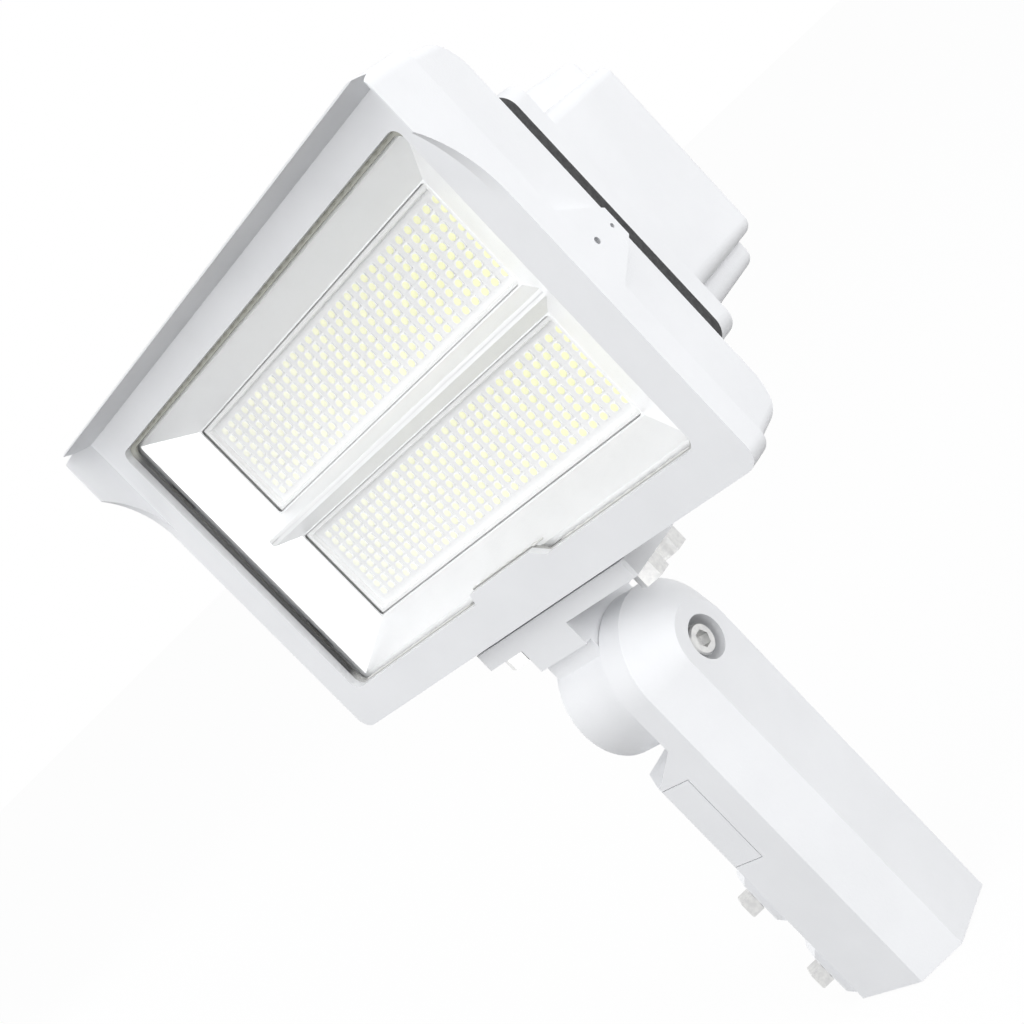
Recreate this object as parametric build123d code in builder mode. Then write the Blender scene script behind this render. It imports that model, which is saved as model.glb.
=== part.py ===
from build123d import *
import os
from math import sqrt

os.makedirs("parts", exist_ok=True)

# Frame: the origin is the middle of the mouth of the pole socket, +Z runs up the pole,
# the tilt axis runs along X, and the lamp shines along -Y. Sizes are in millimetres.

# Slip fitter, the foot that drops over the pole
pole_diameter = 60.3
pole_gap = 0.85
fitter_wall = 6.5
fitter_corner = 18.4
socket_depth = 88.0
chamber_inset = 8.0
chamber_length = 50.0
chamber_roof = 8.7
chamber_corner_round = 8.0
shoulder_rise = 14.4
shoulder_flat_end = -17.0

# Tilt joint
saddle_floor = 5.0
ear_face = 4.0
joint_gap = 0.5
drum_step = 3.5
drum_gap = 1.5
drum_edge = 1.2
drum_inset = 1.5
drum_round = 2.0
raceway_wall = 10.0
hub_wall = 4.5
ear_recess = 8.0
drum_recess = 23.0
bolt_diameter = 10.0
running_gap = 0.05
bolt_head_diameter = 16.0
bolt_head_height = 10.0
bolt_head_sunk = 2.5
bolt_head_edge = 0.8
bolt_socket_width = 8.0
bolt_socket_depth = 5.0
bolt_recess_gap = 3.3
washer_thickness = 2.0
washer_step = 1.0
nut_width = 16.0
nut_height = 8.0
nut_gap = 0.2
flat_gap = 0.1
ear_wire_way = 10.0

# Set bolts that clamp the pole
lower_set_bolt_height = 18.0
upper_set_bolt_drop = 19.2
set_bolt_diameter = 9.5
set_head_width = 9.5
set_head_height = 7.0
set_head_edge = 0.6
set_boss_length = 23.5
set_boss_width = 19.0
set_boss_height = 3.6
set_boss_slope = 5.0
set_head_gap = 0.6
set_tip_clear = 0.2

# Wiring cover on the front edge of the fitter
cover_rise = 4.4
cover_height = 51.4
cover_side = 0.0
cover_wrap = 20.0
cover_gap = 0.4
cover_thickness = 2.2
cover_gasket_thickness = 1.0
cover_screw_diameter = 4.0
cover_screw_head = 7.0
cover_screw_head_height = 1.4
cover_screw_length = 6.0
cover_screw_slot = 1.0
cover_opening_margin = 7.0

# Lamp head, measured back from the front face of its door frame
head_width = 313.0
head_height = 212.0
head_drop = 62.5
face_front = 35.2
frame_depth = 13.7
frame_corner = 8.0
frame_lip = 4.2
frame_border_x = 18.5
frame_border_z = 20.5
window_corner = 5.0
gasket_show = 3.0
gasket_show_top = 2.0
gasket_show_bottom = 0.4
gasket_thickness = 1.5
lens_overlap = 3.0
lens_thickness = 4.0
lens_corner = 8.0
lens_gap = 0.4

# Tab in the middle of the window's lower edge
tab_left = -23.0
tab_right = 35.0
tab_height = 5.5
tab_end_slope = 8.0
tab_gasket_show = 0.6

# Hood above the window
hood_projection = 16.7
hood_straight = 30.0
hood_run = 70.0
hood_rim_wall = 0.8
hood_base_wall = 5.0

# Lens clips
clip_length = 16.0
clip_reach = 3.0
clip_thickness = 1.2
clip_back = 8.0
clip_pocket_gap = 0.5
clip_inset_x = 33.0
clip_inset_z = 35.5
clip_screw_diameter = 3.0
clip_screw_head = 5.5
clip_screw_head_height = 1.8
clip_screw_length = 5.0

# Cast housing behind the frame
housing_step_x = 2.8
housing_step_z = 3.0
housing_depth = 32.8
housing_draft_x = 4.1
housing_draft_z = 1.3
housing_end_round = 20.0
housing_corner = 5.25
chamber_inset_x = 3.0
chamber_inset_z = 1.5
chamber_depth = 19.2
chamber_corner = 6.0
board_wall = 5.0
back_wall = 6.0
trough_height = 10.0
frame_gasket_width = 2.5
frame_gasket_depth = 2.0
frame_gasket_inset = 2.25
frame_gasket_corner = 3.5
frame_screw_inset_x = 13.0
frame_screw_inset_z = 12.0
frame_screw_sink = 10.5
frame_screw_diameter = 4.0
frame_screw_head = 7.0
frame_screw_head_height = 2.8
frame_screw_bite = 7.5

# Side bosses
side_boss_base = 39.5
side_boss_shoulder = 22.0
side_boss_top = 14.2
side_boss_shoulder_rise = 18.0
side_boss_rise = 24.9
side_boss_root = 12.0
side_hole_diameter = 3.3
side_hole_depth = 10.0
side_hole_back = 6.7
side_pin_hole_diameter = 2.2
side_pin_hole_back = 20.6
side_pin_hole_depth = 5.0

# Light engine
board_inset = 20.0
board_thickness = 2.0
board_spread = 11.2
board_gap = 10.3
board_frame_inset_x = 5.4
board_frame_inset_z = 3.5
board_frame_wall = 2.6
board_frame_thickness = 3.5
board_frame_edge = 0.5
board_screw_inset = 2.8
board_screw_diameter = 3.0
board_screw_head = 5.0
board_screw_head_height = 1.8
board_screw_bite = 3.5
reflector_sheet = 1.2
reflector_seat = 1.3
reflector_lens_gap = 0.5
reflector_clear = 1.6
reflector_gap = 0.9
reflector_slope_depth = 18.6
reflector_corner = 3.0
ridge_depth = 17.5
ridge_flat = 3.8

# Driver lid on the back
lid_lift = 1.6
lid_gasket_thickness = 5.6
lid_bare_end = 37.2
lid_corner = 10.0
lid_flange_thickness = 13.4
lid_flange_draft = 2.0
lid_box_lift = 3.4
lid_box_depth = 68.8
lid_box_step = 1.0
lid_box_inset = 19.1
lid_box_draft_x = 4.0
lid_box_draft_z = 0.5
lid_wing_inset_x = 16.0
lid_wing_inset_z = 5.0
lid_wing_rise = 1.0
lid_wing_draft = 2.5
lid_box_corner = 8.0
lid_wall = 4.0
lid_edge_round = 4.0
lid_screw_inset_x = 9.5
lid_screw_inset_z = 7.5
lid_screw_diameter = 5.0
lid_screw_head = 9.0
lid_screw_head_height = 4.0
lid_screw_bite = 9.0

# Driver and terminals inside the lid
tray_gap = 8.0
tray_thickness = 2.0
tray_edge = 3.0
driver_room = 100.0
driver_margin = 9.0
driver_thickness = 40.0
driver_corner = 3.0
driver_ear = 12.0
driver_ear_thickness = 3.0
gear_screw_diameter = 4.0
gear_screw_head = 7.0
gear_screw_head_height = 2.6
gear_screw_bite = 3.8
terminal_width = 20.0
terminal_margin = 14.0
terminal_thickness = 17.0
terminal_inset = 40.0
terminal_ways = 4
terminal_pitch = 8.0
terminal_hole = 5.6

# Knuckle that carries the head
plate_side = 21.75
plate_shift = -2.25
plate_gap = 3.0
plate_thickness = 10.0
plate_front = 9.0
plate_overhang = 4.0
plate_corner = 1.5
knuckle_gasket_thickness = 1.5
pad_front = 16.0
pad_proud = 7.5
pad_step = 2.0
pad_rise = 16.0
neck_step = 0.1
neck_narrowing = 1.0
neck_shoulder = 12.0
neck_pad_rise = 14.0
knuckle_bolt_inset_x = 7.0
knuckle_bolt_inset_y = 9.0
knuckle_bolt_diameter = 9.5
knuckle_bolt_head = 14.3
knuckle_bolt_head_height = 9.0
knuckle_bolt_bite = 12.0
wire_way_diameter = 16.0
inner_way_depth = 38.5
inner_way_diameter = 8.0
wire_hole_gap = 6.0
wire_hole_diameter = 8.0

# Small allowances
screw_head_gap = 0.75
screw_end_gap = 1.0
edge_break = 1.0

# Places worked out for the fitter and the tilt joint
socket_radius = pole_diameter / 2 + pole_gap
fitter_width = 2 * (socket_radius + fitter_wall)
half = fitter_width / 2
corner_face = (2 * half - fitter_corner) / sqrt(2)
chamber_width = 2 * (socket_radius - chamber_inset)
chamber_top = socket_depth + chamber_length
fitter_shoulder = chamber_top + chamber_roof
drum_radius = half - drum_step
saddle_radius = drum_radius + drum_gap
raceway_radius = drum_radius - raceway_wall
hub_radius = bolt_diameter / 2 + hub_wall
tilt_height = fitter_shoulder + saddle_radius + saddle_floor
drum_end = ear_face - joint_gap
drum_start = drum_inset - half
counterbore_depth = bolt_head_sunk + bolt_head_height + washer_thickness + flat_gap
head_seat = half - bolt_head_sunk - bolt_head_height
set_bolt_heights = (lower_set_bolt_height, socket_depth - upper_set_bolt_drop)
set_head_base = corner_face + set_boss_height + set_head_gap
left_corner_dir = Vector(-1, -1, 0).normalized()
left_corner_axis = Axis((0, 0, 0), left_corner_dir)
cover_bottom = socket_depth + cover_rise
cover_floor = -cover_gasket_thickness - cover_thickness
cover_screw_heights = (
    cover_bottom + cover_opening_margin / 2,
    cover_bottom + cover_height - cover_opening_margin / 2,
)

# Places worked out for the head
head_bottom = tilt_height + head_drop
head_mid = head_bottom + head_height / 2
head_top = head_bottom + head_height
window_width = head_width - 2 * frame_border_x
window_height = head_height - 2 * frame_border_z
lens_width = window_width + 2 * lens_overlap
lens_height = window_height + 2 * lens_overlap
pocket_width = lens_width + 2 * lens_gap
pocket_height = lens_height + 2 * lens_gap
lens_front = frame_lip + gasket_thickness
lens_back = lens_front + lens_thickness
hood_radius = ((hood_run - hood_straight) ** 2 + hood_projection**2) / (2 * hood_projection)
housing_width = head_width - 2 * housing_step_x
housing_height = head_height - 2 * housing_step_z
housing_back = frame_depth + housing_depth
housing_back_width = housing_width - 2 * housing_draft_x
housing_back_height = housing_height - 2 * housing_draft_z
chamber_x = window_width - 2 * chamber_inset_x
chamber_z = window_height - 2 * chamber_inset_z
board_wall_front = frame_depth + chamber_depth
board_wall_back = board_wall_front + board_wall
trough_bottom = housing_back - back_wall
trough_z = (chamber_z - trough_height) / 2
gasket_ring_width = housing_width - 2 * frame_gasket_inset
gasket_ring_height = housing_height - 2 * frame_gasket_inset
frame_screw_x = head_width / 2 - frame_screw_inset_x
frame_screw_z = head_height / 2 - frame_screw_inset_z
frame_screw_sunk = housing_back - frame_screw_sink
frame_screw_spots = [
    (x * frame_screw_x, z * frame_screw_z) for x in (-1, -0.5, 0.5, 1) for z in (-1, 1)
]

# Places worked out for the light engine
board_width = chamber_x - 2 * board_inset
board_spacing = window_height / 2 - board_spread
board_height = board_spacing - board_gap
board_frame_width = board_width - 2 * board_frame_inset_x
board_frame_height = board_height - 2 * board_frame_inset_z
board_front = board_wall_front - board_thickness
board_rises = (-board_spacing / 2, board_spacing / 2)
board_corners = [
    (x * (board_width / 2 - board_screw_inset), z * (board_height / 2 - board_screw_inset))
    for x in (-1, 1)
    for z in (-1, 1)
]
board_screw_spots = [(x, z + rise) for rise in board_rises for x, z in board_corners]
reflector_top = lens_back + reflector_lens_gap
reflector_bottom = board_front - board_frame_thickness - reflector_clear
reflector_rise = reflector_bottom - reflector_top
reflector_width = chamber_x + 2 * reflector_seat
reflector_height = chamber_z + 2 * reflector_seat
reflector_hole_width = board_frame_width + 2 * reflector_gap
reflector_hole_height = board_frame_height + 2 * reflector_gap
end_slope = (window_width - reflector_hole_width) / 2 / reflector_slope_depth
edge_slope = (window_height - board_spacing - reflector_hole_height) / 2 / reflector_slope_depth
ridge_rise = reflector_bottom - ridge_depth
ridge_slope = (board_spacing - reflector_hole_height - ridge_flat) / 2 / ridge_rise
sheet_side = reflector_sheet * 1.5

# Places worked out for the driver lid and what it covers
lid_front = housing_back + lid_gasket_thickness
lid_ledge = lid_front + lid_flange_thickness
lid_back = lid_ledge + lid_box_depth
lid_wing_back = lid_back + lid_wing_rise
lid_width = housing_back_width
lid_height = head_height - 2 * lid_bare_end
lid_ledge_width = lid_width - 2 * lid_flange_draft
lid_box_width = lid_ledge_width - 2 * lid_box_step
lid_box_height = lid_height - 2 * lid_box_inset
lid_box_top_width = lid_box_width - 2 * lid_box_draft_x
lid_box_top_height = lid_box_height - 2 * lid_box_draft_z
lid_wing_width = lid_width - 2 * lid_wing_inset_x
lid_wing_height = lid_height - 2 * lid_wing_inset_z
box_cavity_width = lid_box_width - 2 * lid_wall
box_cavity_height = lid_box_height - 2 * lid_wall
wing_cavity_width = lid_wing_width - 2 * lid_wall
wing_cavity_height = lid_wing_height - 2 * lid_wall
lid_screw_spots = [
    (x * (lid_width / 2 - lid_screw_inset_x), z * (lid_height / 2 - lid_screw_inset_z))
    for x in (-1, 1)
    for z in (-1, 1)
]
tray_width = wing_cavity_width - 2 * tray_gap
tray_height = box_cavity_height - 2 * tray_gap
tray_back = board_wall_back + tray_thickness
driver_width = tray_width - driver_room
driver_height = tray_height - 2 * driver_margin
driver_x = tray_edge + driver_ear + driver_width / 2 - tray_width / 2
driver_screw_spots = [
    (
        driver_x + x * (driver_width + driver_ear) / 2,
        z * (driver_height / 2 - driver_ear),
    )
    for x in (-1, 1)
    for z in (-1, 1)
]
terminal_x = tray_width / 2 - terminal_inset
terminal_height = tray_height - 2 * terminal_margin
terminal_screw_spots = [
    (terminal_x, z * (terminal_height - gear_screw_head) / 2) for z in (-1, 1)
]
gear_screw_spots = driver_screw_spots + terminal_screw_spots
wire_hole_x = tray_width / 2 + wire_hole_gap

# Places worked out for the knuckle
plate_top = head_bottom - plate_gap
plate_bottom = plate_top - plate_thickness
plate_width = fitter_width + 2 * plate_side
pad_bottom = plate_top + knuckle_gasket_thickness
pad_back = housing_back + pad_proud
pad_depth = pad_back - pad_front
pad_y = (pad_back + pad_front) / 2 - face_front
pad_width = plate_width - 2 * pad_step
plate_left = plate_shift - plate_width / 2
plate_right = plate_shift + plate_width / 2
plate_back = pad_back + plate_overhang
knuckle_bolt_spots = [
    (plate_shift + x * (plate_width / 2 - knuckle_bolt_inset_x), depth - face_front)
    for x in (-1, 1)
    for depth in (pad_front + knuckle_bolt_inset_y, pad_back - knuckle_bolt_inset_y)
]
neck_width = half - neck_narrowing
neck_thickness = 2 * (drum_radius - neck_shoulder)
neck_side = drum_end - neck_step
neck_x = neck_side - neck_width / 2
neck_pad_thickness = 2 * (face_front - plate_front)
wire_way_floor = tilt_height + hub_radius + 2


def face_plane(depth, rise=0.0):
    # A plane parallel to the front face, looking at it from the front, that far behind it
    return Plane(
        origin=(0, depth - face_front, head_mid + rise), x_dir=(1, 0, 0), z_dir=(0, -1, 0)
    )


def save(piece, name):
    piece.part.label = name
    export_step(piece.part, f"parts/{name}.step")


def hex_radius(width):
    # The corner radius of a hexagon from its width across the flats
    return width / sqrt(3)


def set_bolt_plane(height, distance):
    # A plane across a set bolt, facing outward, that far from the pole's middle
    spot = left_corner_dir * distance
    return Plane(origin=(spot.X, spot.Y, height), x_dir=(0, 0, 1), z_dir=left_corner_dir)


def wrap_corner(proud):
    # Where the front face and the front left corner face meet, that far proud of both
    return (-(half - fitter_corner) - proud * (sqrt(2) - 1), -half - proud)


def wrap_point(along, proud):
    # A point on the front left corner face, that far along it from its front edge
    return (
        -(half - fitter_corner) - (along + proud) / sqrt(2),
        -half + (along - proud) / sqrt(2),
    )


def wrap_outline(inner, outer, inset=0.0):
    # The outline of a strip bent round that edge, between two heights above the faces
    return (
        (cover_side - inset, -half - inner),
        (cover_side - inset, -half - outer),
        wrap_corner(outer),
        wrap_point(cover_wrap - inset, outer),
        wrap_point(cover_wrap - inset, inner),
        wrap_corner(inner),
    )


def cover_screw_plane(height, proud):
    # A plane on the front left corner face at a cover screw, facing outward
    spot = wrap_point(cover_wrap / 2, proud)
    return Plane(origin=(spot[0], spot[1], height), x_dir=(0, 0, 1), z_dir=left_corner_dir)


# Slip fitter: eight-sided foot with a pole socket, a wiring chamber and one ear

with BuildPart() as slip_fitter:
    with BuildSketch(Plane.XY):
        Rectangle(fitter_width, fitter_width)
    extrude(amount=fitter_shoulder)
    with BuildSketch(Plane.YZ.offset(ear_face)):
        with Locations((0, tilt_height / 2)):
            Rectangle(fitter_width, tilt_height)
        with Locations((0, tilt_height)):
            Circle(half)
    extrude(amount=half - ear_face)
    outer_edges = slip_fitter.faces().sort_by(Axis.X)[-1].edges()
    chamfer(outer_edges.filter_by(lambda e: e.center().Z > 1), length=fitter_corner)
    left_edges = slip_fitter.faces().sort_by(Axis.X)[0].edges().filter_by(Axis.Z)
    chamfer(left_edges, length=fitter_corner)
    with BuildSketch(Plane.XZ.offset(-half)):
        with BuildLine():
            Polyline(
                (shoulder_flat_end, fitter_shoulder - 1),
                (shoulder_flat_end, fitter_shoulder),
                (ear_face, fitter_shoulder + shoulder_rise),
                (ear_face + 1, fitter_shoulder + shoulder_rise),
                (ear_face + 1, fitter_shoulder - 1),
                close=True,
            )
        make_face()
    extrude(amount=fitter_width)
    with BuildSketch(Plane.YZ.offset(ear_face)):
        with Locations((0, tilt_height)):
            Circle(saddle_radius)
    extrude(amount=-fitter_width, mode=Mode.SUBTRACT)
    for height in set_bolt_heights:
        with BuildSketch(set_bolt_plane(height, corner_face - 1)):
            Rectangle(set_boss_length + 2 * set_boss_slope, set_boss_width)
        with BuildSketch(set_bolt_plane(height, corner_face + set_boss_height)):
            Rectangle(set_boss_length, set_boss_width - 2)
        loft()
    with BuildSketch(Plane.XY):
        Circle(socket_radius)
    extrude(amount=socket_depth, mode=Mode.SUBTRACT)
    with BuildSketch(Plane.XY.offset(socket_depth)):
        RectangleRounded(chamber_width, chamber_width, chamber_corner_round)
    extrude(amount=chamber_top - socket_depth, mode=Mode.SUBTRACT)
    for height in set_bolt_heights:
        with BuildSketch(set_bolt_plane(height, socket_radius - 3)):
            Circle(set_bolt_diameter / 2 + running_gap)
        extrude(amount=half, mode=Mode.SUBTRACT)
    with BuildSketch(Plane.YZ.offset(ear_face)):
        with Locations((0, tilt_height)):
            Circle(raceway_radius)
            Circle(hub_radius, mode=Mode.SUBTRACT)
    extrude(amount=ear_recess, mode=Mode.SUBTRACT)
    with BuildSketch(Plane.YZ.offset(half)):
        with Locations((0, tilt_height)):
            Circle(bolt_head_diameter / 2 + bolt_recess_gap)
    extrude(amount=-counterbore_depth, mode=Mode.SUBTRACT)
    with BuildSketch(Plane.YZ.offset(half)):
        with Locations((0, tilt_height)):
            Circle(bolt_diameter / 2 + running_gap)
    extrude(amount=-half, mode=Mode.SUBTRACT)
    with BuildSketch(Plane.XY.offset(chamber_top - 5)):
        with Locations((ear_face + ear_recess - 1, 0)):
            Circle(ear_wire_way / 2)
    extrude(amount=tilt_height - raceway_radius + 6 - chamber_top + 5, mode=Mode.SUBTRACT)
    with BuildSketch(Plane.XY.offset(cover_bottom - cover_gap)):
        with BuildLine():
            Polyline(*wrap_outline(cover_floor, 1, -cover_gap), close=True)
        make_face()
    extrude(amount=cover_height + 2 * cover_gap, mode=Mode.SUBTRACT)
    with BuildSketch(Plane.XY.offset(cover_bottom + cover_opening_margin)):
        with BuildLine():
            Polyline(
                (cover_side - cover_opening_margin, -half - 1),
                (cover_side - cover_opening_margin, -chamber_width / 2 + 1),
                (-chamber_width / 2 + 10, -chamber_width / 2 + 10),
                wrap_point(cover_wrap - cover_opening_margin, -14),
                wrap_point(cover_wrap - cover_opening_margin, 1),
                wrap_corner(1),
                close=True,
            )
        make_face()
    extrude(amount=cover_height - 2 * cover_opening_margin, mode=Mode.SUBTRACT)
    for height in cover_screw_heights:
        with BuildSketch(cover_screw_plane(height, 1)):
            Circle(cover_screw_diameter / 2 + running_gap)
        extrude(amount=cover_floor - cover_screw_length - 1, mode=Mode.SUBTRACT)
save(slip_fitter, "slip_fitter")

# Wiring cover, bent round the front left edge of the fitter, on its gasket
with BuildPart() as wiring_cover_gasket:
    with BuildSketch(Plane.XY.offset(cover_bottom)):
        with BuildLine():
            Polyline(*wrap_outline(cover_floor, -cover_thickness), close=True)
        make_face()
    extrude(amount=cover_height)
    with BuildSketch(Plane.XY.offset(cover_bottom + cover_opening_margin)):
        with BuildLine():
            Polyline(*wrap_outline(cover_floor - 1, 0, cover_opening_margin), close=True)
        make_face()
    extrude(amount=cover_height - 2 * cover_opening_margin, mode=Mode.SUBTRACT)
    for height in cover_screw_heights:
        with BuildSketch(cover_screw_plane(height, 0)):
            Circle(cover_screw_diameter / 2 + running_gap)
        extrude(amount=cover_floor - 1, mode=Mode.SUBTRACT)
save(wiring_cover_gasket, "wiring_cover_gasket")

with BuildPart() as wiring_cover:
    with BuildSketch(Plane.XY.offset(cover_bottom)):
        with BuildLine():
            Polyline(*wrap_outline(-cover_thickness, 0), close=True)
        make_face()
    extrude(amount=cover_height)
    for height in cover_screw_heights:
        with BuildSketch(cover_screw_plane(height, 0)):
            Circle(cover_screw_diameter / 2 + running_gap)
        extrude(amount=-cover_thickness, mode=Mode.SUBTRACT)
        with BuildSketch(cover_screw_plane(height, 0)):
            Circle(cover_screw_head / 2 + nut_gap)
        extrude(amount=-cover_screw_head_height, mode=Mode.SUBTRACT)
save(wiring_cover, "wiring_cover")

with BuildPart() as wiring_cover_screws:
    for height in cover_screw_heights:
        with BuildSketch(cover_screw_plane(height, 0)):
            Circle(cover_screw_head / 2)
        extrude(amount=-cover_screw_head_height)
        with BuildSketch(cover_screw_plane(height, 0)):
            Circle(cover_screw_diameter / 2)
        extrude(amount=cover_floor - cover_screw_length + screw_end_gap)
        with BuildSketch(cover_screw_plane(height, 0)):
            Rectangle(cover_screw_head - 2 * cover_screw_slot, cover_screw_slot)
            Rectangle(cover_screw_slot, cover_screw_head - 2 * cover_screw_slot)
        extrude(amount=-cover_screw_head_height / 2, mode=Mode.SUBTRACT)
save(wiring_cover_screws, "wiring_cover_screws")

# Set bolts: square heads outside, tips just clear of the socket
for name, height in zip(("lower_set_bolt", "upper_set_bolt"), set_bolt_heights):
    with BuildPart() as set_bolt:
        with BuildSketch(set_bolt_plane(height, socket_radius + set_tip_clear)):
            Circle(set_bolt_diameter / 2)
        extrude(amount=set_head_base - socket_radius - set_tip_clear)
        chamfer(set_bolt.faces().sort_by(left_corner_axis)[0].edges(), length=bolt_head_edge)
        with BuildSketch(set_bolt_plane(height, set_head_base)):
            Rectangle(set_head_width, set_head_width)
        extrude(amount=set_head_height)
        chamfer(set_bolt.faces().sort_by(left_corner_axis)[-1].edges(), length=set_head_edge)
    save(set_bolt, name)

# Knuckle: mounting plate, neck and drum in one casting
with BuildPart() as knuckle:
    with BuildSketch(Plane.YZ.offset(drum_start)):
        with Locations((0, tilt_height)):
            Circle(drum_radius)
    extrude(amount=drum_end - drum_start)
    chamfer(knuckle.edges().filter_by(GeomType.CIRCLE).sort_by(Axis.X)[-1], length=drum_edge)
    fillet(knuckle.edges().filter_by(GeomType.CIRCLE).sort_by(Axis.X)[0], radius=drum_round)
    with BuildSketch(Plane.YZ.offset(neck_side)):
        with Locations((0, tilt_height)):
            Circle(drum_radius - neck_step)
        with Locations((0, (tilt_height + plate_bottom) / 2)):
            Rectangle(neck_thickness, plate_bottom - tilt_height)
        with Locations((0, plate_bottom - neck_pad_rise / 2)):
            Rectangle(neck_pad_thickness, neck_pad_rise)
    extrude(amount=-neck_width)
    with BuildSketch(Plane.XY.offset(plate_bottom)):
        with BuildLine():
            Polyline(
                (plate_left, plate_back - face_front),
                (plate_left, plate_front + plate_corner - face_front),
                (plate_left + plate_corner, plate_front - face_front),
                (plate_right - plate_corner, plate_front - face_front),
                (plate_right, plate_front + plate_corner - face_front),
                (plate_right, plate_back - face_front),
                close=True,
            )
        make_face()
    extrude(amount=plate_thickness)
    with BuildSketch(Plane.YZ.offset(drum_end)):
        with Locations((0, tilt_height)):
            Circle(raceway_radius)
            Circle(hub_radius, mode=Mode.SUBTRACT)
    extrude(amount=-drum_recess, mode=Mode.SUBTRACT)
    with BuildSketch(Plane.XY.offset(wire_way_floor)):
        with Locations((neck_x, 0)):
            Circle(wire_way_diameter / 2)
    extrude(amount=plate_top - wire_way_floor, mode=Mode.SUBTRACT)
    with BuildSketch(Plane.YZ.offset(drum_end)):
        with Locations((0, tilt_height)):
            Circle(bolt_diameter / 2 + running_gap)
    extrude(amount=drum_start - drum_end, mode=Mode.SUBTRACT)
    with BuildSketch(Plane.YZ.offset(drum_start)):
        with Locations((0, tilt_height)):
            RegularPolygon(hex_radius(nut_width) + nut_gap, 6)
    extrude(amount=nut_height, mode=Mode.SUBTRACT)
    with BuildSketch(Plane.XY.offset(plate_bottom)):
        with Locations(*knuckle_bolt_spots):
            Circle(knuckle_bolt_diameter / 2 + running_gap)
    extrude(amount=plate_thickness, mode=Mode.SUBTRACT)
save(knuckle, "knuckle")

# Tilt bolt, its washer and the nut held in the drum
with BuildPart() as tilt_bolt:
    with BuildSketch(Plane.YZ.offset(head_seat)):
        with Locations((0, tilt_height)):
            Circle(bolt_head_diameter / 2)
    extrude(amount=bolt_head_height)
    chamfer(tilt_bolt.edges().filter_by(GeomType.CIRCLE).sort_by(Axis.X)[-1], length=bolt_head_edge)
    with BuildSketch(Plane.YZ.offset(head_seat)):
        with Locations((0, tilt_height)):
            Circle(bolt_diameter / 2)
    extrude(amount=drum_start - head_seat)
    with BuildSketch(Plane.YZ.offset(head_seat + bolt_head_height)):
        with Locations((0, tilt_height)):
            RegularPolygon(hex_radius(bolt_socket_width), 6)
    extrude(amount=-bolt_socket_depth, mode=Mode.SUBTRACT)
save(tilt_bolt, "tilt_bolt")

with BuildPart() as tilt_washer:
    with BuildSketch(Plane.YZ.offset(head_seat)):
        with Locations((0, tilt_height)):
            Circle(bolt_head_diameter / 2 + washer_step)
            Circle(bolt_diameter / 2 + running_gap, mode=Mode.SUBTRACT)
    extrude(amount=-washer_thickness)
save(tilt_washer, "tilt_washer")

with BuildPart() as tilt_nut:
    with BuildSketch(Plane.YZ.offset(drum_start)):
        with Locations((0, tilt_height)):
            RegularPolygon(hex_radius(nut_width), 6)
            Circle(bolt_diameter / 2 + running_gap, mode=Mode.SUBTRACT)
    extrude(amount=nut_height)
save(tilt_nut, "tilt_nut")

# Four hex bolts hold the knuckle plate to the housing, over a gasket
with BuildPart() as knuckle_bolts:
    with BuildSketch(Plane.XY.offset(plate_bottom)):
        with Locations(*knuckle_bolt_spots):
            RegularPolygon(hex_radius(knuckle_bolt_head), 6, rotation=30)
    extrude(amount=-knuckle_bolt_head_height)
    with BuildSketch(Plane.XY.offset(plate_bottom)):
        with Locations(*knuckle_bolt_spots):
            Circle(knuckle_bolt_diameter / 2)
    extrude(amount=plate_thickness + knuckle_gasket_thickness + knuckle_bolt_bite)
save(knuckle_bolts, "knuckle_bolts")

with BuildPart() as knuckle_gasket:
    with BuildSketch(Plane.XY.offset(plate_top)):
        with Locations((plate_shift, pad_y)):
            Rectangle(pad_width, pad_depth)
        with Locations((neck_x, 0)):
            Circle(wire_way_diameter / 2, mode=Mode.SUBTRACT)
        with Locations(*knuckle_bolt_spots):
            Circle(knuckle_bolt_diameter / 2 + running_gap, mode=Mode.SUBTRACT)
    extrude(amount=knuckle_gasket_thickness)
save(knuckle_gasket, "knuckle_gasket")

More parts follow.
